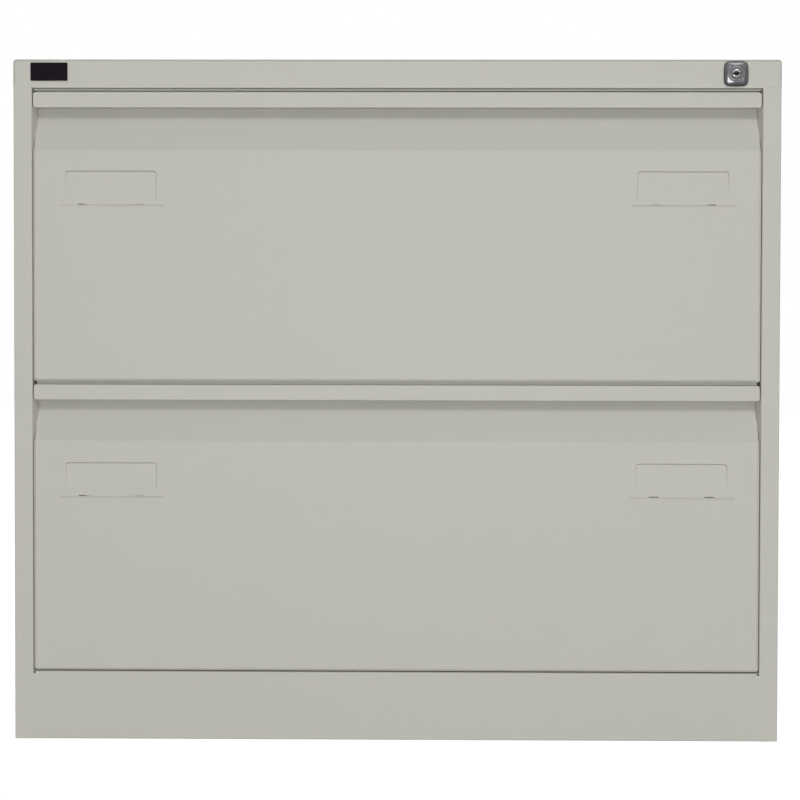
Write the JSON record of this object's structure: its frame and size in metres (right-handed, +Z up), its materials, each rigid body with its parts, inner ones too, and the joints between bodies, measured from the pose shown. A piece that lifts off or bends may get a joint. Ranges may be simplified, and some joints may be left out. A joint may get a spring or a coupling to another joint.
{
  "type": "suspension file cabinet",
  "caption": "Wide two-drawer steel cabinet for hanging files, with full-width grips, telescopic slides and a lock in its top rail.",
  "frame": {"origin": "on the floor under the middle of the cabinet", "axes": "+X to the viewer's right along the width, drawers open towards -Y, +Z up"},
  "size_m": [0.8, 0.6272, 0.711],
  "materials": {
    "paint": "satin warm-grey powder coat with a very fine texture",
    "inner_paint": "thin powder coat on inner steelwork",
    "zinc": "zinc plated",
    "chrome": "polished",
    "die_cast": "satin dark die-casting",
    "plastic": "moulded black",
    "rubber": "matt black",
    "badge": "glossy near-black plum, bare"
  },
  "bodies": {
    "cabinet": {"left_side_panel": "paint", "right_side_panel": "paint", "top_panel": "paint", "back_panel": "paint", "plinth_panel": "paint", "base_panel": "inner_paint", "front_left_upright": "inner_paint", "front_right_upright": "inner_paint", "rear_left_upright": "inner_paint", "rear_right_upright": "inner_paint", "front_left_foot": "plastic", "front_right_foot": "plastic", "rear_left_foot": "plastic", "rear_right_foot": "plastic", "badge_plate": "badge", "lock_escutcheon": "die_cast", "lock_barrel": "die_cast", "lock_nut": "zinc", "upper_lock_bar_guide": "plastic", "lower_lock_bar_guide": "plastic", "upper_left_slide_outer": "zinc", "upper_right_slide_outer": "zinc", "lower_left_slide_outer": "zinc", "lower_right_slide_outer": "zinc", "upper_left_slide_buffer": "rubber", "upper_right_slide_buffer": "rubber", "lower_left_slide_buffer": "rubber", "lower_right_slide_buffer": "rubber"},
    "lock_core": {"lock_plug": "chrome", "lock_cam": "zinc"},
    "lock_slider": {"lock_bar": "zinc"},
    "upper_drawer": {"upper_drawer_front_skin": "paint", "upper_drawer_front_liner": "paint", "upper_drawer_tray": "paint", "upper_drawer_back": "paint", "upper_drawer_centre_rail": "zinc", "upper_drawer_catch_plate": "zinc", "upper_left_slide_inner": "zinc", "upper_right_slide_inner": "zinc"},
    "lower_drawer": {"lower_drawer_front_skin": "paint", "lower_drawer_front_liner": "paint", "lower_drawer_tray": "paint", "lower_drawer_back": "paint", "lower_drawer_centre_rail": "zinc", "lower_drawer_catch_plate": "zinc", "lower_left_slide_inner": "zinc", "lower_right_slide_inner": "zinc"},
    "upper_left_middle": {"upper_left_slide_middle": "zinc"},
    "upper_right_middle": {"upper_right_slide_middle": "zinc"},
    "lower_left_middle": {"lower_left_slide_middle": "zinc"},
    "lower_right_middle": {"lower_right_slide_middle": "zinc"},
    "upper_left_outer_balls": {"upper_left_slide_outer_cage": "zinc"},
    "upper_right_outer_balls": {"upper_right_slide_outer_cage": "zinc"},
    "lower_left_outer_balls": {"lower_left_slide_outer_cage": "zinc"},
    "lower_right_outer_balls": {"lower_right_slide_outer_cage": "zinc"},
    "upper_left_inner_balls": {"upper_left_slide_inner_cage": "zinc"},
    "upper_right_inner_balls": {"upper_right_slide_inner_cage": "zinc"},
    "lower_left_inner_balls": {"lower_left_slide_inner_cage": "zinc"},
    "lower_right_inner_balls": {"lower_right_slide_inner_cage": "zinc"}
  },
  "joints": [
    {"name": "upper_drawer_slide", "type": "slide", "parent": "cabinet", "child": "upper_drawer", "axis": [0, -1, 0], "range_m": [0, 0.54]},
    {"name": "lower_drawer_slide", "type": "slide", "parent": "cabinet", "child": "lower_drawer", "axis": [0, -1, 0], "range_m": [0, 0.54]},
    {"name": "lock_turn", "type": "hinge", "parent": "cabinet", "child": "lock_core", "pos_m": [0.352, -0.3084, 0.696], "axis": [0, 1, 0], "range_deg": [0, 90]},
    {"name": "lock_bar_shift", "type": "slide", "parent": "cabinet", "child": "lock_slider", "axis": [-1, 0, 0], "range_m": [0, 0.00707]},
    {"name": "upper_left_middle_slide", "type": "slide", "parent": "cabinet", "child": "upper_left_middle", "axis": [0, -1, 0], "range_m": [0, 0.27]},
    {"name": "upper_right_middle_slide", "type": "slide", "parent": "cabinet", "child": "upper_right_middle", "axis": [0, -1, 0], "range_m": [0, 0.27]},
    {"name": "lower_left_middle_slide", "type": "slide", "parent": "cabinet", "child": "lower_left_middle", "axis": [0, -1, 0], "range_m": [0, 0.27]},
    {"name": "lower_right_middle_slide", "type": "slide", "parent": "cabinet", "child": "lower_right_middle", "axis": [0, -1, 0], "range_m": [0, 0.27]},
    {"name": "upper_left_outer_ball_roll", "type": "slide", "parent": "cabinet", "child": "upper_left_outer_balls", "axis": [0, -1, 0], "range_m": [0, 0.135]},
    {"name": "upper_right_outer_ball_roll", "type": "slide", "parent": "cabinet", "child": "upper_right_outer_balls", "axis": [0, -1, 0], "range_m": [0, 0.135]},
    {"name": "lower_left_outer_ball_roll", "type": "slide", "parent": "cabinet", "child": "lower_left_outer_balls", "axis": [0, -1, 0], "range_m": [0, 0.135]},
    {"name": "lower_right_outer_ball_roll", "type": "slide", "parent": "cabinet", "child": "lower_right_outer_balls", "axis": [0, -1, 0], "range_m": [0, 0.135]},
    {"name": "upper_left_inner_ball_roll", "type": "slide", "parent": "cabinet", "child": "upper_left_inner_balls", "axis": [0, -1, 0], "range_m": [0, 0.405]},
    {"name": "upper_right_inner_ball_roll", "type": "slide", "parent": "cabinet", "child": "upper_right_inner_balls", "axis": [0, -1, 0], "range_m": [0, 0.405]},
    {"name": "lower_left_inner_ball_roll", "type": "slide", "parent": "cabinet", "child": "lower_left_inner_balls", "axis": [0, -1, 0], "range_m": [0, 0.405]},
    {"name": "lower_right_inner_ball_roll", "type": "slide", "parent": "cabinet", "child": "lower_right_inner_balls", "axis": [0, -1, 0], "range_m": [0, 0.405]}
  ],
  "couplings": [
    {"joint": "lock_turn", "follows": "lock_bar_shift", "rad_per_m": 222.13},
    {"joint": "upper_left_middle_slide", "follows": "upper_drawer_slide", "ratio": 0.5},
    {"joint": "upper_right_middle_slide", "follows": "upper_drawer_slide", "ratio": 0.5},
    {"joint": "lower_left_middle_slide", "follows": "lower_drawer_slide", "ratio": 0.5},
    {"joint": "lower_right_middle_slide", "follows": "lower_drawer_slide", "ratio": 0.5},
    {"joint": "upper_left_outer_ball_roll", "follows": "upper_drawer_slide", "ratio": 0.25},
    {"joint": "upper_right_outer_ball_roll", "follows": "upper_drawer_slide", "ratio": 0.25},
    {"joint": "lower_left_outer_ball_roll", "follows": "lower_drawer_slide", "ratio": 0.25},
    {"joint": "lower_right_outer_ball_roll", "follows": "lower_drawer_slide", "ratio": 0.25},
    {"joint": "upper_left_inner_ball_roll", "follows": "upper_drawer_slide", "ratio": 0.75},
    {"joint": "upper_right_inner_ball_roll", "follows": "upper_drawer_slide", "ratio": 0.75},
    {"joint": "lower_left_inner_ball_roll", "follows": "lower_drawer_slide", "ratio": 0.75},
    {"joint": "lower_right_inner_ball_roll", "follows": "lower_drawer_slide", "ratio": 0.75}
  ]
}
